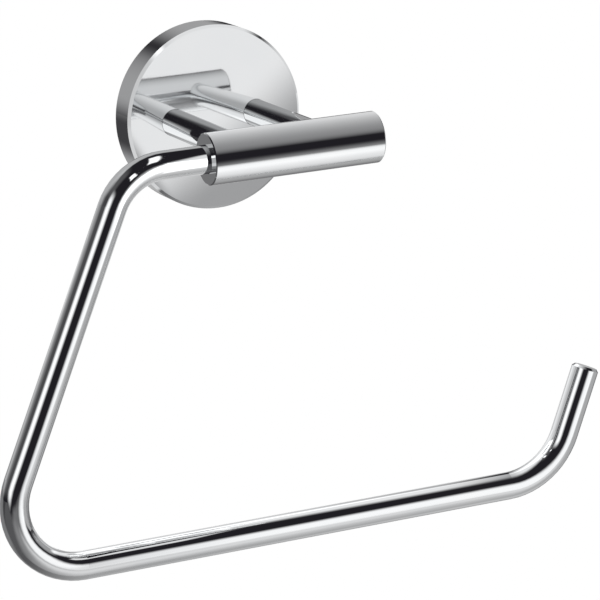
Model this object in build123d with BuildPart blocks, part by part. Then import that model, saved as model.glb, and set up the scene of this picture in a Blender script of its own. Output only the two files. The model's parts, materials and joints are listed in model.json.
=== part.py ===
"""Wall-mounted towel holder: a rosette, two posts, a barrel and an open ring bent from one rod.

Millimetres, +Z up. The origin is the middle of the rosette's back, on the wall, and the room is towards -Y.
Distances from the wall are counted along -Y, which is the normal of Plane.XZ.
"""

import os
from math import cos, radians, sin, tan

from build123d import *

# Rosette
rosette_diameter = 54.0
rosette_wall = 4.0
rosette_face = 2.5
rosette_crown = 0.8
rosette_bevel = 0.8

# Bracket behind the rosette, with bevelled ends that the rosette's set screw wedges on
bracket_thickness = 5.5
bracket_headroom = 2.0
bracket_land = 1.0
bracket_bevel = 1.8
bracket_clearance = 0.2
bracket_side_gap = 0.75
bracket_edge = 0.4
wall_screw_hole = 4.5
wall_screw_head = 9.0
wall_screw_head_angle = 90.0
wall_screw_edge = 7.8

# Posts
post_diameter = 8.0
post_spacing = 25.5
post_seat = 0.8
spigot_diameter = 5.0
spigot_length = 5.0
spigot_lead = 0.4

# Barrel
barrel_diameter = 14.5
barrel_length = 51.0
barrel_from_wall = 63.5
barrel_edge = 0.3
barrel_seat = 2.0
bore_wall = 0.5

# Rod: corner to corner, along the middle of the bar
rod_diameter = 8.0
shoulder_reach = 23.7
ring_drop = 108.5
bottom_run = 175.0
tip_length = 34.5
leg_angle = 23.8
tip_angle = 21.8
shoulder_bend = 16.5
corner_bend = 19.0
tip_bend = 20.5
rod_lead = 0.5
rod_tip_bevel = 0.7

# Screws and washers
post_screw_diameter = 4.0
post_screw_length = 10.0
post_screw_head = 7.0
post_screw_head_height = 2.6
post_screw_head_edge = 0.3
post_screw_socket = 2.5
post_screw_socket_depth = 1.4
post_screw_run_out = 1.5
washer_diameter = 9.0
washer_thickness = 0.8
rosette_screw_diameter = 4.0
rosette_screw_point = 1.2
rosette_screw_socket = 2.0
rosette_screw_socket_depth = 2.0
rosette_screw_recess = 0.5
rosette_screw_inset = 0.4
rod_screw_diameter = 3.0
rod_screw_socket = 1.5
rod_screw_socket_depth = 1.5
rod_screw_recess = 0.2

# Clearances: a bar in its seat, a screw in its tapped hole, a screw in its through hole, end play in blind holes
seat_clearance = 0.05
thread_clearance = 0.05
through_clearance = 0.2
end_clearance = 0.2

# Worked out from the sizes above
cavity_depth = bracket_thickness + bracket_headroom
rosette_depth = cavity_depth + rosette_face
crown_depth = rosette_depth + rosette_crown
cavity_radius = rosette_diameter / 2 - rosette_wall
bracket_radius = cavity_radius - bracket_clearance
bracket_width = post_spacing - washer_diameter - 2 * bracket_side_gap
bevel_depth = bracket_thickness - bracket_land
wall_screw_spacing = 2 * (bracket_radius - wall_screw_edge)
post_start = rosette_depth - post_seat
post_shoulder = barrel_from_wall - barrel_diameter / 2 + barrel_seat
post_end = post_shoulder + spigot_length
washer_back = cavity_depth - washer_thickness
screw_head_back = washer_back - post_screw_head_height
screw_tip = washer_back + post_screw_length
rod_bore_depth = (barrel_length - post_spacing - post_diameter) / 2 - bore_wall
barrel_end = barrel_length / 2
rod_screw_x = rod_bore_depth / 2 - barrel_end
rosette_screw_from_wall = bevel_depth - rosette_screw_point / 2 - rosette_screw_inset


def on_post_axis(post_x):
    """Half-section plane of a turned piece: X is its radius, Y its distance from the wall."""
    return Plane(origin=(post_x, 0, 0), x_dir=(1, 0, 0), z_dir=(0, 0, -1))


def below(x, from_wall):
    """Half-section plane of an upright screw: X is its radius, Y its distance below the part's middle."""
    return Plane(origin=(x, -from_wall, 0), x_dir=(1, 0, 0), z_dir=(0, 1, 0))


def underside(x, from_wall, depth):
    """Plane that faces down, at a depth below the part's middle."""
    return Plane(origin=(x, -from_wall, -depth), x_dir=(1, 0, 0), z_dir=(0, 0, -1))


os.makedirs("parts", exist_ok=True)

# Rosette: a turned cup with a crowned face, counterbored seats for the posts and a tapped hole in the rim's underside
with BuildPart() as rosette:
    with BuildSketch(on_post_axis(0)):
        with BuildLine():
            face_edge = (rosette_diameter / 2 - rosette_bevel, rosette_depth)
            Polyline(
                (0, crown_depth),
                (0, cavity_depth),
                (cavity_radius, cavity_depth),
                (cavity_radius, 0),
                (rosette_diameter / 2, 0),
                (rosette_diameter / 2, rosette_depth - rosette_bevel),
                face_edge,
            )
            TangentArc((0, crown_depth), face_edge, tangent=(1, 0))
        make_face()
    revolve(axis=Axis.Y)
    with Locations(Plane.XZ.offset(crown_depth)):
        with GridLocations(post_spacing, 0, 2, 1):
            CounterBoreHole(
                radius=post_screw_diameter / 2 + through_clearance,
                counter_bore_radius=post_diameter / 2 + seat_clearance,
                counter_bore_depth=post_seat + rosette_crown,
                depth=rosette_face + rosette_crown,
            )
    with Locations(underside(0, rosette_screw_from_wall, rosette_diameter / 2)):
        Hole(radius=rosette_screw_diameter / 2, depth=rosette_diameter / 2 - bracket_radius)
rosette.part.label = "rosette"
export_step(rosette.part, "parts/rosette.step")

# Wall bracket: an upright bar whose round ends taper in towards the wall
with BuildPart() as wall_bracket:
    with BuildSketch(on_post_axis(0)):
        with BuildLine():
            Polyline(
                (0, 0),
                (bracket_radius - bracket_bevel, 0),
                (bracket_radius, bevel_depth),
                (bracket_radius, bracket_thickness),
                (0, bracket_thickness),
                close=True,
            )
        make_face()
    revolve(axis=Axis.Y)
    with BuildSketch(Plane.XZ):
        Rectangle(bracket_width, 2 * bracket_radius)
    extrude(amount=bracket_thickness, mode=Mode.INTERSECT)
    chamfer(wall_bracket.faces().sort_by(Axis.Y).first.edges(), bracket_edge)
    with Locations(Plane.XZ.offset(bracket_thickness)):
        with GridLocations(0, wall_screw_spacing, 1, 2):
            CounterSinkHole(
                radius=wall_screw_hole / 2,
                counter_sink_radius=wall_screw_head / 2,
                counter_sink_angle=wall_screw_head_angle,
            )
wall_bracket.part.label = "wall_bracket"
export_step(wall_bracket.part, "parts/wall_bracket.step")

# Set screw in the rosette's rim: its point wedges on the bracket's lower bevel
point_from_wall = rosette_screw_from_wall + rosette_screw_point / 2
bevel_radius = bracket_radius - bracket_bevel * (1 - point_from_wall / bevel_depth)
with BuildPart() as rosette_set_screw:
    body_radius = rosette_screw_diameter / 2 - thread_clearance
    point_at = bevel_radius + thread_clearance
    socket_at = rosette_diameter / 2 - rosette_screw_recess
    with BuildSketch(below(0, rosette_screw_from_wall)):
        with BuildLine():
            Polyline(
                (0, point_at),
                (rosette_screw_point / 2, point_at),
                (body_radius, point_at + body_radius - rosette_screw_point / 2),
                (body_radius, socket_at),
                (0, socket_at),
                close=True,
            )
        make_face()
    revolve(axis=Axis((0, -rosette_screw_from_wall, 0), (0, 0, 1)))
    with BuildSketch(underside(0, rosette_screw_from_wall, socket_at)):
        RegularPolygon(rosette_screw_socket / 2, 6, major_radius=False)
    extrude(amount=-rosette_screw_socket_depth, mode=Mode.SUBTRACT)
rosette_set_screw.part.label = "rosette_set_screw"
export_step(rosette_set_screw.part, "parts/rosette_set_screw.step")

# Each side has a post, the screw that pulls it onto the rosette from behind, and a washer under the head
for side, post_x in {"left": -post_spacing / 2, "right": post_spacing / 2}.items():
    post_axis = Axis((post_x, 0, 0), (0, 1, 0))

    with BuildPart() as post:
        with BuildSketch(on_post_axis(post_x)):
            with BuildLine():
                Polyline(
                    (0, screw_tip + post_screw_run_out),
                    (post_screw_diameter / 2, screw_tip + post_screw_run_out),
                    (post_screw_diameter / 2, post_start),
                    (post_diameter / 2, post_start),
                    (post_diameter / 2, post_shoulder),
                    (spigot_diameter / 2, post_shoulder),
                    (spigot_diameter / 2, post_end - spigot_lead),
                    (spigot_diameter / 2 - spigot_lead, post_end),
                    (0, post_end),
                    close=True,
                )
            make_face()
        revolve(axis=post_axis)
    post.part.label = f"post_{side}"
    export_step(post.part, f"parts/post_{side}.step")

    with BuildPart() as post_screw:
        with BuildSketch(on_post_axis(post_x)):
            with BuildLine():
                Polyline(
                    (0, screw_head_back),
                    (post_screw_head / 2 - post_screw_head_edge, screw_head_back),
                    (post_screw_head / 2, screw_head_back + post_screw_head_edge),
                    (post_screw_head / 2, washer_back),
                    (post_screw_diameter / 2 - thread_clearance, washer_back),
                    (post_screw_diameter / 2 - thread_clearance, screw_tip),
                    (0, screw_tip),
                    close=True,
                )
            make_face()
        revolve(axis=post_axis)
        with BuildSketch(Plane.XZ.offset(screw_head_back)):
            with Locations((post_x, 0)):
                RegularPolygon(post_screw_socket / 2, 6, major_radius=False)
        extrude(amount=post_screw_socket_depth, mode=Mode.SUBTRACT)
    post_screw.part.label = f"post_screw_{side}"
    export_step(post_screw.part, f"parts/post_screw_{side}.step")

    with BuildPart() as post_washer:
        with BuildSketch(Plane.XZ.offset(washer_back)):
            with Locations((post_x, 0)):
                Circle(washer_diameter / 2)
                Circle(post_screw_diameter / 2 + through_clearance, mode=Mode.SUBTRACT)
        extrude(amount=washer_thickness)
    post_washer.part.label = f"post_washer_{side}"
    export_step(post_washer.part, f"parts/post_washer_{side}.step")

# Barrel: a round bar with seats for the posts at its back and a blind bore for the rod in its left end
with BuildPart() as barrel:
    left_end = Plane(origin=(-barrel_end, -barrel_from_wall, 0), x_dir=(0, 1, 0), z_dir=(-1, 0, 0))
    with BuildSketch(left_end):
        Circle(barrel_diameter / 2)
    extrude(amount=-barrel_length)
    chamfer(barrel.edges().filter_by(GeomType.CIRCLE), barrel_edge)
    with Locations(left_end):
        Hole(radius=rod_diameter / 2 + seat_clearance, depth=rod_bore_depth)
    with Locations(Plane((0, barrel_diameter / 2 - barrel_from_wall, 0), x_dir=(1, 0, 0), z_dir=(0, 1, 0))):
        with GridLocations(post_spacing, 0, 2, 1):
            CounterBoreHole(
                radius=spigot_diameter / 2 + seat_clearance,
                counter_bore_radius=post_diameter / 2 + seat_clearance,
                counter_bore_depth=barrel_seat,
                depth=barrel_seat + spigot_length + end_clearance,
            )
    with Locations(underside(rod_screw_x, barrel_from_wall, barrel_diameter / 2)):
        Hole(radius=rod_screw_diameter / 2, depth=barrel_diameter / 2)
barrel.part.label = "barrel"
export_step(barrel.part, "parts/barrel.step")

# Set screw in the barrel's underside: its flat end clamps the rod
with BuildPart() as rod_set_screw:
    clamp_at = rod_diameter / 2 + thread_clearance
    socket_at = barrel_diameter / 2 - rod_screw_recess
    with BuildSketch(underside(rod_screw_x, barrel_from_wall, clamp_at)):
        Circle(rod_screw_diameter / 2 - thread_clearance)
    extrude(amount=socket_at - clamp_at)
    with BuildSketch(underside(rod_screw_x, barrel_from_wall, socket_at)):
        RegularPolygon(rod_screw_socket / 2, 6, major_radius=False)
    extrude(amount=-rod_screw_socket_depth, mode=Mode.SUBTRACT)
rod_set_screw.part.label = "rod_set_screw"
export_step(rod_set_screw.part, "parts/rod_set_screw.step")

# Rod: one bar, bent three times, in a plane parallel to the wall
rod_start_x = rod_bore_depth - end_clearance - barrel_end
shoulder_x = -barrel_end - shoulder_reach
left_corner_x = shoulder_x - ring_drop * tan(radians(leg_angle))
right_corner_x = left_corner_x + bottom_run
tip_x = right_corner_x + tip_length * sin(radians(tip_angle))
tip_z = tip_length * cos(radians(tip_angle)) - ring_drop
with BuildPart() as rod:
    with BuildLine(Plane.XZ.offset(barrel_from_wall)) as rod_path:
        FilletPolyline(
            (rod_start_x, 0),
            (shoulder_x, 0),
            (left_corner_x, -ring_drop),
            (right_corner_x, -ring_drop),
            (tip_x, tip_z),
            radius=[shoulder_bend, corner_bend, tip_bend],
        )
    with BuildSketch(rod_path.line ^ 0):
        Circle(rod_diameter / 2)
    sweep(path=rod_path.line)
    start_face, tip_face = rod.faces().filter_by(GeomType.PLANE).sort_by(Axis.X)
    chamfer(start_face.edges(), rod_lead)
    chamfer(tip_face.edges(), rod_tip_bevel)
rod.part.label = "rod"
export_step(rod.part, "parts/rod.step")
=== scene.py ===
"""Looks of the towel holder: chrome, zinc and steel on the solids, a soft studio, a pale floor and a camera.

Metres and degrees, in the frame of the solids: +Z up, the wall at Y = 0 and the room towards -Y.
"""

import json
import math
from typing import NamedTuple

import bmesh
import bpy
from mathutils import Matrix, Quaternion, Vector

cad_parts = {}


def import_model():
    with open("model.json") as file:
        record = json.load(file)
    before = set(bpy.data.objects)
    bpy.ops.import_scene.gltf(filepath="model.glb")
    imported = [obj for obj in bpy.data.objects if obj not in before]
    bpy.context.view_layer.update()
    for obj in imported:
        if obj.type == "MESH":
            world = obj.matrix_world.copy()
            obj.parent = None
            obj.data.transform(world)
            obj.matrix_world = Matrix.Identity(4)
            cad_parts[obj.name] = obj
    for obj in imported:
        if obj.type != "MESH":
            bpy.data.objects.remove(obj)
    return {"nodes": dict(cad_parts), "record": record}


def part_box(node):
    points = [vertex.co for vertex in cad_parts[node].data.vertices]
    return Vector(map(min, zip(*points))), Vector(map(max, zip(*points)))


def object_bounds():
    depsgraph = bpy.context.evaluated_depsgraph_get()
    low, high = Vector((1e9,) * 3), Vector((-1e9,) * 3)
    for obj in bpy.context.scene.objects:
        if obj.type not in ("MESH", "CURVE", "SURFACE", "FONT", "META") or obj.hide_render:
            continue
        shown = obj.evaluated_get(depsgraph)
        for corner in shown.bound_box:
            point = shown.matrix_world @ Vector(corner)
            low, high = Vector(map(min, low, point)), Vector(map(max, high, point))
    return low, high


# Camera, fitted to the object's outline
CAMERA_AZIMUTH = -23.96
CAMERA_ELEVATION = 14.387
CAMERA_ROLL = -2.586
CAMERA_DISTANCE = 0.9147
CAMERA_AIM = Vector((0.01828, -0.02342, -0.05450))
CAMERA_LENS = 187.52

# Floor, and the sun over it. The shade is the part of the floor's white that a full shadow takes away.
FLOOR_BELOW = 0.5
FLOOR_HALF = 15.0
FLOOR_SHADE = 0.3
SUN_ANGLE = 40

# Dark cloth that hangs round the studio, with a faint painted glow of its own instead of lamp light
CLOTH_RADIUS = 6.0
CLOTH_SEGMENTS = 32
CLOTH_RINGS = 16
CLOTH_LEVEL = 0.0165
CLOTH_TINT = (0.97, 0.90, 1.12, 1)

# Painted shade over the floor, seen only in the metal, and a painted pool of light in it, in front of the
# object on the right.
# Each fade is where it starts, where it ends, and how much of the white floor shows at each.
PAINTED_SHADE_ABOVE_FLOOR = 0.004
PAINTED_SHADE_ACROSS = (-0.35, 0.25, 0.085, 0.43)
PAINTED_SHADE_FRONT = (-1.55, -0.9, 0.0, 1.0)
PAINTED_SHADE_BACK = (0.0, 0.6, 1.0, 0.45)
PAINTED_POOL_LEVEL = 0.25
PAINTED_POOL_LEFT = (-0.3, 0.1, 0.0, 1.0)
PAINTED_POOL_RIGHT = (0.6, 1.0, 1.0, 0.0)
PAINTED_POOL_FRONT = (-1.55, -1.0, 0.0, 1.0)
PAINTED_POOL_BACK = (-0.7, -0.2, 1.0, 0.0)

# Crown and bevel of the rosette's face, as in the solids.
# A facet belongs to the crowned face where the Y of its normal is below the limit.
ROSETTE_CROWN = 0.0008
ROSETTE_BEVEL = 0.0008
FACE_NORMAL_LIMIT = -0.99

# Parts of the noise's range over which roughness and colour change
ROUGHNESS_RANGE = (0.3, 0.7)
COLOUR_RANGE = (0.25, 0.75)

# A lamp's energy for one unit of brightness on one square metre
WATTS_PER_BRIGHTNESS = math.pi

# Elevation of a panel overhead, just short of straight up so that its azimuth still says how it lies
OVERHEAD = 89.9


def direction(azimuth, elevation):
    """Unit vector from the object: azimuth 0 is the room side and 90 the right, and elevation 90 is up."""
    a, e = math.radians(azimuth), math.radians(elevation)
    return Vector((math.sin(a) * math.cos(e), -math.cos(a) * math.cos(e), math.sin(e)))


def new_object(name, data):
    obj = bpy.data.objects.new(name, data)
    bpy.context.scene.collection.objects.link(obj)
    return obj


def group(name, objects):
    """Collection of these objects, for light linking."""
    made = bpy.data.collections.new(name)
    for obj in objects:
        made.objects.link(obj)
    return made


class Nodes:
    """Short way to add and join shader nodes."""

    def __init__(self, tree):
        self.tree = tree
        tree.nodes.clear()

    def add(self, kind, **settings):
        node = self.tree.nodes.new(kind)
        for key, value in settings.items():
            setattr(node, key, value)
        return node

    def join(self, source, target):
        self.tree.links.new(source, target)

    def math(self, operation, first, second):
        node = self.add("ShaderNodeMath", operation=operation)
        for socket, value in zip(node.inputs, (first, second)):
            if isinstance(value, bpy.types.NodeSocket):
                self.join(value, socket)
            else:
                socket.default_value = value
        return node.outputs[0]

    def product(self, result, *factors):
        for factor in factors:
            result = self.math("MULTIPLY", result, factor)
        return result

    def smooth(self, value, low, high, at_low=0.0, at_high=1.0):
        """Soft step from one level to another, between these two values."""
        node = self.add("ShaderNodeMapRange", interpolation_type="SMOOTHSTEP")
        self.join(value, node.inputs["Value"])
        node.inputs["From Min"].default_value = low
        node.inputs["From Max"].default_value = high
        node.inputs["To Min"].default_value = at_low
        node.inputs["To Max"].default_value = at_high
        return node.outputs[0]

    def noise(self, size, detail=2.0):
        """Noise that stays with the piece, with spots of about this size in metres."""
        node = self.add("ShaderNodeTexNoise")
        self.join(self.add("ShaderNodeTexCoord").outputs["Object"], node.inputs["Vector"])
        node.inputs["Scale"].default_value = 1 / size
        node.inputs["Detail"].default_value = detail
        return node.outputs[0]

    def crystals(self, size):
        """One random grey for each crystal of about this size in metres."""
        node = self.add("ShaderNodeTexVoronoi")
        self.join(self.add("ShaderNodeTexCoord").outputs["Object"], node.inputs["Vector"])
        node.inputs["Scale"].default_value = 1 / size
        grey = self.add("ShaderNodeRGBToBW")
        self.join(node.outputs["Color"], grey.inputs[0])
        return grey.outputs[0]

    def colours(self, amount, dull, bright):
        node = self.add("ShaderNodeValToRGB")
        self.join(amount, node.inputs[0])
        for stop, place, colour in zip(node.color_ramp.elements, COLOUR_RANGE, (dull, bright)):
            stop.position = place
            stop.color = (*colour, 1)
        return node.outputs[0]

    def roughness(self, amount, least, most):
        return self.smooth(amount, *ROUGHNESS_RANGE, least, most)

    def crown_normal(self):
        """True normal of the rosette's crowned face, so that its mirror image has no kinks.

        The rosette's other faces keep the normal that they have.
        """
        low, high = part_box("rosette")
        edge = high.x - ROSETTE_BEVEL
        radius = (edge ** 2 + ROSETTE_CROWN ** 2) / (2 * ROSETTE_CROWN)
        away = self.add("ShaderNodeVectorMath", operation="SUBTRACT")
        self.join(self.add("ShaderNodeTexCoord").outputs["Object"], away.inputs[0])
        away.inputs[1].default_value = (0, low.y + radius, 0)
        unit = self.add("ShaderNodeVectorMath", operation="NORMALIZE")
        self.join(away.outputs[0], unit.inputs[0])
        surface = self.add("ShaderNodeNewGeometry").outputs
        facing = self.add("ShaderNodeSeparateXYZ")
        self.join(surface["True Normal"], facing.inputs[0])
        # In a vector mix, inputs 4 and 5 and output 1 are the vectors
        pick = self.add("ShaderNodeMix", data_type="VECTOR")
        self.join(self.math("LESS_THAN", facing.outputs["Y"], FACE_NORMAL_LIMIT), pick.inputs[0])
        self.join(surface["Normal"], pick.inputs[4])
        self.join(unit.outputs[0], pick.inputs[5])
        return pick.outputs[1]

    def metal(self, colour, roughness, relief, depth, normal=None):
        """Metal surface with this colour and roughness, and a relief of this depth in metres."""
        bump = self.add("ShaderNodeBump")
        bump.inputs["Distance"].default_value = depth
        self.join(relief, bump.inputs["Height"])
        if normal:
            self.join(normal, bump.inputs["Normal"])
        shader = self.add("ShaderNodeBsdfPrincipled")
        shader.inputs["Metallic"].default_value = 1
        self.join(colour, shader.inputs["Base Color"])
        self.join(roughness, shader.inputs["Roughness"])
        self.join(bump.outputs[0], shader.inputs["Normal"])
        self.surface(shader)

    def surface(self, shader):
        self.join(shader.outputs[0], self.add("ShaderNodeOutputMaterial").inputs["Surface"])

    def seen(self):
        """1 for what the camera sees, directly or in metal or glass, and 0 for light on dull surfaces."""
        path = self.add("ShaderNodeLightPath").outputs
        mirrored = self.math("MAXIMUM", path["Is Glossy Ray"], path["Is Transmission Ray"])
        return self.math("MAXIMUM", path["Is Camera Ray"], mirrored)


def material(name):
    made = bpy.data.materials.new(name)
    made.use_nodes = True
    return made, Nodes(made.node_tree)


def polished_chrome(crowned=False):
    """Mirror chrome with a faint haze and the finest polishing marks."""
    made, nodes = material("polished_chrome")
    haze = nodes.noise(size=0.012)
    marks = nodes.noise(size=0.0006)
    colour = nodes.colours(haze, dull=(0.855, 0.870, 0.880), bright=(0.880, 0.888, 0.893))
    roughness = nodes.roughness(haze, least=0.035, most=0.055)
    normal = nodes.crown_normal() if crowned else None
    nodes.metal(colour, roughness, relief=marks, depth=2e-7, normal=normal)
    return made


def zinc_plated_steel():
    """Dull zinc plating: small crystals of different greys, and a rough skin."""
    made, nodes = material("zinc_plated_steel")
    crystals = nodes.crystals(size=0.0025)
    skin = nodes.noise(size=0.0008, detail=4.0)
    colour = nodes.colours(crystals, dull=(0.55, 0.56, 0.58), bright=(0.69, 0.70, 0.71))
    roughness = nodes.roughness(skin, least=0.34, most=0.52)
    nodes.metal(colour, roughness, relief=skin, depth=6e-6)
    return made


def stainless_steel():
    """Plain steel: fine grain, duller than the chrome."""
    made, nodes = material("stainless_steel")
    grain = nodes.noise(size=0.0004, detail=3.0)
    colour = nodes.colours(grain, dull=(0.53, 0.52, 0.50), bright=(0.66, 0.65, 0.63))
    roughness = nodes.roughness(grain, least=0.2, most=0.34)
    nodes.metal(colour, roughness, relief=grain, depth=2e-6)
    return made


class Softbox(NamedTuple):
    """Soft-edged panel of light, turned to the point that it is seen from.

    Its place and size are angles seen from that point, and level 1 is as bright as the floor. The edges are
    the parts of its width and height over which it fades: side of lower azimuth, other side, bottom and top.
    A positive turn moves its top towards lower azimuth. It lights only the nodes that it names: where a piece
    mirrors another one, the panel names the piece that the light meets first.
    """

    name: str
    azimuth: float
    elevation: float
    width: float
    height: float
    level: float
    edges: tuple = (0.3, 0.3, 0.3, 0.3)
    turn: float = 0.0
    distance: float = 1.0
    seen_from: Vector = Vector((0, 0, 0))
    lights: tuple = ()


RING = ("rod",)
BARREL = ("barrel",)
ROSETTE = ("rosette",)
POSTS = ("post_left", "post_right")
HIDDEN = ("wall_bracket", "rosette_set_screw", "rod_set_screw", "post_screw_left", "post_screw_right",
          "post_washer_left", "post_washer_right")

SOFTBOXES = (
    # Large panels for the ring
    Softbox("ring_left_strip", -58.5, 11, 49, 50, 1.2, edges=(0.45, 0.45, 0.3, 0.3), turn=-28, distance=2,
            lights=RING),
    Softbox("ring_left_fill", -95, 12, 50, 40, 0.06, lights=RING),
    Softbox("ring_back_left", -150, 8, 100, 36, 0.45, edges=(0.3, 0.6, 0.3, 0.3), lights=RING),
    Softbox("ring_strip", 29, -3.5, 56, 55, 1.06, edges=(0.38, 0.32, 0.22, 0.4), lights=RING),
    Softbox("ring_front_low", -10, -44, 74, 70, 0.16, edges=(0.4, 0.4, 0.2, 0.12), distance=0.4,
            seen_from=Vector((-0.090, -0.063, -0.100)), lights=RING),
    Softbox("ring_run_low", 36, -45, 50, 60, 0.08, distance=0.4, seen_from=Vector((0, -0.063, -0.100)),
            lights=RING),
    Softbox("ring_back_low", -150, -28, 90, 76, 0.16, edges=(0.3, 0.2, 0.3, 0.3), distance=0.45, lights=RING),
    Softbox("ring_back_top", -157, 43, 96, 58, 0.46, edges=(0.12, 0.4, 0.25, 0.2), lights=RING),
    Softbox("ring_left_top", -95, 48, 80, 50, 0.08, lights=RING),
    Softbox("ring_right", 95, 10, 70, 44, 0.35, lights=RING),
    Softbox("ring_back_right", 155, -8, 40, 24, 0.4, lights=RING),
    Softbox("ring_floor", 140, -62, 80, 40, 0.15, distance=0.5, lights=RING),
    # Small cards close to the ring, each for one stretch of it
    Softbox("rod_end_card", -23, -10, 50, 64, 0.5, edges=(0.15,) * 4, distance=0.016,
            seen_from=Vector((-0.0235, -0.063, 0)), lights=RING),
    Softbox("end_leg_card", -108, 16, 22, 48, 0.4, edges=(0.25,) * 4, distance=0.05,
            seen_from=Vector((0.076, -0.063, -0.078)), lights=RING),
    Softbox("shoulder_card", 25, -1.5, 60, 85, 0.8, edges=(0.14, 0.23, 0.2, 0.15), turn=-34, distance=0.045,
            seen_from=Vector((-0.0264, -0.0581, 0.003)), lights=RING),
    Softbox("shoulder_window_upper", 27, 69, 17, 53, 1.3, edges=(0.2,) * 4, turn=-28, distance=0.07,
            seen_from=Vector((-0.0420, -0.0641, 0.0033)), lights=RING),
    Softbox("shoulder_window_lower", -9, 31, 10, 31, 1.3, edges=(0.2,) * 4, turn=32, distance=0.07,
            seen_from=Vector((-0.0475, -0.0669, -0.0007)), lights=RING),
    Softbox("run_top_card", 0, OVERHEAD, 93, 68, 0.88, edges=(0.08, 0.27, 0.37, 0.2), turn=-15, distance=0.1,
            seen_from=Vector((0.035, -0.018, -0.115)), lights=RING),
    Softbox("ring_back_card", 180, 0, 112, 70, 0.4, edges=(0.1, 0.3, 0.1, 0.2), distance=0.078,
            seen_from=Vector((-0.005, -0.063, -0.066)), lights=RING),
    # Barrel
    Softbox("barrel_ceiling", 0, OVERHEAD, 84, 80, 0.28, edges=(0.1, 0.1, 0.36, 0.05), distance=0.05,
            seen_from=Vector((0.010, -0.062, -0.034)), lights=BARREL),
    Softbox("barrel_ceiling_back", 0, OVERHEAD, 84, 60, 0.45, edges=(0.1, 0.1, 0.45, 0.05), distance=0.05,
            seen_from=Vector((0.010, -0.049, -0.034)), lights=BARREL),
    Softbox("barrel_floor", 36, -39.5, 60, 80, 0.42, edges=(0.3, 0.3, 0.35, 0.5), distance=0.45,
            lights=BARREL),
    Softbox("barrel_end", -156, -14, 40, 40, 0.13, lights=BARREL),
    Softbox("barrel_under_card", 0, -OVERHEAD, 64, 40, 0.42, edges=(0.15, 0.5, 0.05, 0.2), distance=0.05,
            seen_from=Vector((-0.008, -0.028, 0.034)), lights=BARREL),
    Softbox("barrel_wall_card", 180, 0, 37, 24, 0.7, edges=(0.2,) * 4, distance=0.06,
            seen_from=Vector((0.046, -0.0635, -0.003)), lights=BARREL),
    # Rosette's face, bevel and rim
    Softbox("rosette_fill", 36, 0, 100, 80, 0.37, edges=(0.31, 0.2, 0.2, 0.2), distance=0.6, lights=ROSETTE),
    Softbox("rosette_panel", 22.1, -7.6, 22.5, 18.7, 0.51, edges=(0.06, 0.06, 0.375, 0.06), turn=35,
            lights=ROSETTE),
    Softbox("rosette_top", 48, 73, 110, 66, 0.82, edges=(0.4, 0.15, 0.2, 0.2), lights=ROSETTE),
    Softbox("rosette_right", 105, 2, 50, 60, 0.6, lights=ROSETTE),
    Softbox("rosette_left", -72, 0, 60, 140, 0.63, edges=(0.15, 0.15, 0.1, 0.2), distance=0.2,
            lights=ROSETTE),
    Softbox("rosette_back_left", -150, 10, 58, 40, 0.34, edges=(0.4, 0.2, 0.36, 0.2), lights=ROSETTE),
    Softbox("rosette_back_right", 138, 20, 84, 44, 0.35, edges=(0.3, 0.25, 0.3, 0.3), lights=ROSETTE + POSTS),
    Softbox("rosette_back_low", 178, -24, 40, 16, 0.26, distance=0.6, lights=ROSETTE),
    # Posts and their mirror images. The posts mirror the rosette, and the rosette mirrors the first panel.
    Softbox("post_panel", -20, -9.5, 32, 47, 1.1, edges=(0.25, 0.25, 0.2, 0.42), lights=ROSETTE),
    Softbox("post_fill", 0, 0, 110, 90, 0.45, edges=(0.2,) * 4, distance=0.6, lights=POSTS),
    Softbox("post_fill_right", 35, 15, 100, 70, 0.33, edges=(0.37, 0.2, 0.3, 0.2), distance=0.6,
            lights=POSTS),
    Softbox("post_fill_low", -18, -28, 64, 44, 0.5, distance=0.6, lights=POSTS),
    # Sides, top and back, for the other views
    Softbox("left_side", -90, -8, 30, 30, 0.4, lights=BARREL + POSTS),
    Softbox("right_side", 90, -8, 60, 60, 0.6, lights=BARREL + POSTS),
    Softbox("top_side", 0, OVERHEAD, 50, 50, 0.8, lights=POSTS),
    Softbox("back_side", 180, 10, 70, 60, 0.9, lights=HIDDEN),
)


def softbox(box, pieces):
    """Area lamp for one soft-edged panel."""
    lamp = bpy.data.lights.new(box.name, "AREA")
    lamp.shape = "RECTANGLE"
    lamp.size = 2 * box.distance * math.tan(math.radians(box.width / 2))
    lamp.size_y = 2 * box.distance * math.tan(math.radians(box.height / 2))
    lamp.energy = box.level * WATTS_PER_BRIGHTNESS * lamp.size * lamp.size_y
    lamp.use_nodes = True
    nodes = Nodes(lamp.node_tree)
    place = nodes.add("ShaderNodeSeparateXYZ")
    nodes.join(nodes.add("ShaderNodeNewGeometry").outputs["Parametric"], place.inputs[0])
    x, y = place.outputs["X"], place.outputs["Y"]
    left, right, bottom, top = box.edges
    fade = nodes.product(nodes.smooth(x, 0.0, left), nodes.smooth(x, 1.0 - right, 1.0, 1.0, 0.0),
                         nodes.smooth(y, 0.0, bottom), nodes.smooth(y, 1.0 - top, 1.0, 1.0, 0.0))
    glow = nodes.add("ShaderNodeEmission")
    nodes.join(fade, glow.inputs["Strength"])
    nodes.join(glow.outputs[0], nodes.add("ShaderNodeOutputLight").inputs["Surface"])
    obj = new_object(box.name, lamp)
    obj.visible_camera = False
    towards = direction(box.azimuth, box.elevation)
    obj.location = box.seen_from + towards * box.distance
    obj.rotation_mode = "QUATERNION"
    obj.rotation_quaternion = Quaternion(towards, math.radians(box.turn)) @ towards.to_track_quat("Z", "Y")
    obj.light_linking.receiver_collection = group(box.name, (pieces[name] for name in box.lights))


def flat_sheet(name, half, height):
    mesh = bpy.data.meshes.new(name)
    corners = [(-half, -half, height), (half, -half, height), (half, half, height), (-half, half, height)]
    mesh.from_pydata(corners, [], [(0, 1, 2, 3)])
    obj = new_object(name, mesh)
    return obj


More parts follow.
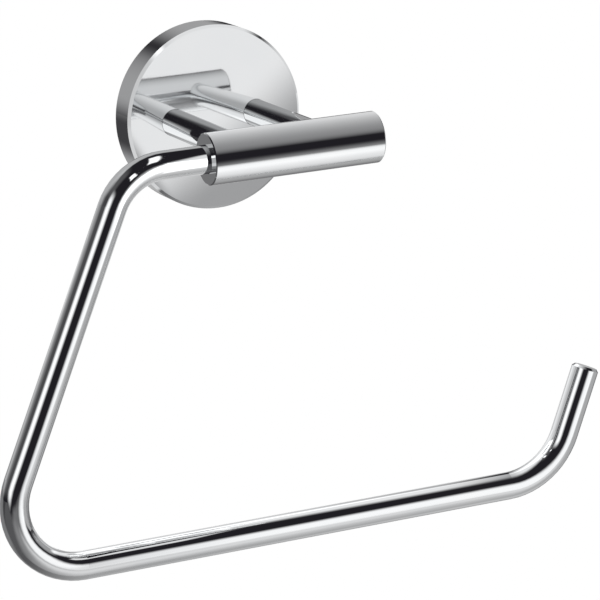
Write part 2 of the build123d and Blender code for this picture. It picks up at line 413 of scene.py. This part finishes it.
def floor(height):
    """Plain pale floor that takes a soft shadow, white to the camera and, through the gaps in the painted
    shade over it, in the metal.
    """
    made, nodes = material("pale_floor")
    made.cycles.emission_sampling = "NONE"
    glow = nodes.add("ShaderNodeEmission")
    nodes.join(nodes.math("MULTIPLY", nodes.seen(), 1 - FLOOR_SHADE), glow.inputs["Strength"])
    paint = nodes.add("ShaderNodeBsdfDiffuse")
    paint.inputs["Color"].default_value = (FLOOR_SHADE, FLOOR_SHADE, FLOOR_SHADE, 1)
    both = nodes.add("ShaderNodeAddShader")
    nodes.join(glow.outputs[0], both.inputs[0])
    nodes.join(paint.outputs[0], both.inputs[1])
    nodes.surface(both)
    obj = flat_sheet("floor", FLOOR_HALF, height)
    obj.data.materials.append(made)
    return obj


def floor_sun(sheet, pieces):
    """Soft light from straight above that falls on the floor alone, with the object's shadow in it."""
    sun = bpy.data.lights.new("floor_sun", "SUN")
    sun.angle = math.radians(SUN_ANGLE)
    sun.energy = WATTS_PER_BRIGHTNESS
    linking = new_object("floor_sun", sun).light_linking
    linking.receiver_collection = group("floor_sun_lights", [sheet])
    linking.blocker_collection = group("floor_sun_shadows", pieces.values())


def world():
    """White all round, as the camera sees it. The dark cloth hides it from the metal."""
    made = bpy.data.worlds.new("studio")
    made.use_nodes = True
    bpy.context.scene.world = made
    nodes = Nodes(made.node_tree)
    background = nodes.add("ShaderNodeBackground")
    nodes.join(nodes.seen(), background.inputs["Strength"])
    nodes.join(background.outputs[0], nodes.add("ShaderNodeOutputWorld").inputs["Surface"])


# Painted glow: the cloth's faint brightness is its own emission, not light from the lamps
def cloth_glow(nodes):
    glow = nodes.add("ShaderNodeEmission")
    glow.inputs["Color"].default_value = CLOTH_TINT
    glow.inputs["Strength"].default_value = CLOTH_LEVEL
    return glow


def dark_cloth():
    """Dark cloth all round, which gives the metal its dark bands. The camera looks past it."""
    mesh = bpy.data.meshes.new("dark_cloth")
    dome = bmesh.new()
    bmesh.ops.create_uvsphere(dome, u_segments=CLOTH_SEGMENTS, v_segments=CLOTH_RINGS, radius=CLOTH_RADIUS)
    dome.to_mesh(mesh)
    dome.free()
    obj = new_object("dark_cloth", mesh)
    obj.visible_camera = False
    made, nodes = material("dark_cloth")
    nodes.surface(cloth_glow(nodes))
    mesh.materials.append(made)


def painted_floor_shade(height):
    """Sheet of painted shade over the floor, seen only in the metal: thin in front of the object and on its
    right, where white shows through, with a painted pool of light there.
    """
    obj = flat_sheet("painted_floor_shade", CLOTH_RADIUS, height)
    obj.visible_camera = False
    made, nodes = material("painted_floor_shade")
    place = nodes.add("ShaderNodeSeparateXYZ")
    nodes.join(nodes.add("ShaderNodeNewGeometry").outputs["Position"], place.inputs[0])
    x, y = place.outputs["X"], place.outputs["Y"]
    # Painted shade: the white floor shows least on the left, far in front and behind
    base = nodes.product(nodes.smooth(x, *PAINTED_SHADE_ACROSS), nodes.smooth(y, *PAINTED_SHADE_FRONT),
                         nodes.smooth(y, *PAINTED_SHADE_BACK))
    # Painted pool of light: more of the white floor shows through here
    painted_pool = nodes.product(nodes.smooth(x, *PAINTED_POOL_LEFT), nodes.smooth(x, *PAINTED_POOL_RIGHT),
                         nodes.smooth(y, *PAINTED_POOL_FRONT), nodes.smooth(y, *PAINTED_POOL_BACK), PAINTED_POOL_LEVEL)
    mix = nodes.add("ShaderNodeMixShader")
    nodes.join(nodes.math("ADD", base, painted_pool), mix.inputs[0])
    nodes.join(cloth_glow(nodes).outputs[0], mix.inputs[1])
    nodes.join(nodes.add("ShaderNodeBsdfTransparent").outputs[0], mix.inputs[2])
    nodes.surface(mix)
    obj.data.materials.append(made)


def camera():
    data = bpy.data.cameras.new("camera")
    data.lens = CAMERA_LENS
    obj = new_object("camera", data)
    back = direction(CAMERA_AZIMUTH, CAMERA_ELEVATION)
    obj.location = CAMERA_AIM + back * CAMERA_DISTANCE
    obj.rotation_mode = "QUATERNION"
    obj.rotation_quaternion = Quaternion(back, math.radians(CAMERA_ROLL)) @ back.to_track_quat("Z", "Y")
    bpy.context.scene.camera = obj


def dress(piece, finish):
    piece.data.materials.clear()
    piece.data.materials.append(finish)


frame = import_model()
cad_low, cad_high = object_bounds()
solids = frame["nodes"]
floor_height = cad_low.z - FLOOR_BELOW
bpy.context.scene.view_settings.view_transform = "Standard"

finishes = {
    "polished_chrome": polished_chrome(),
    "zinc_plated_steel": zinc_plated_steel(),
    "stainless_steel": stainless_steel(),
}
for subpart in frame["record"]["subparts"]:
    dress(solids[subpart["node"]], finishes[subpart["material_slot"]])
dress(solids["rosette"], polished_chrome(crowned=True))

floor_sheet = floor(floor_height)
floor_sun(floor_sheet, solids)
world()
dark_cloth()
painted_floor_shade(floor_height + PAINTED_SHADE_ABOVE_FLOOR)
camera()
for box in SOFTBOXES:
    softbox(box, solids)
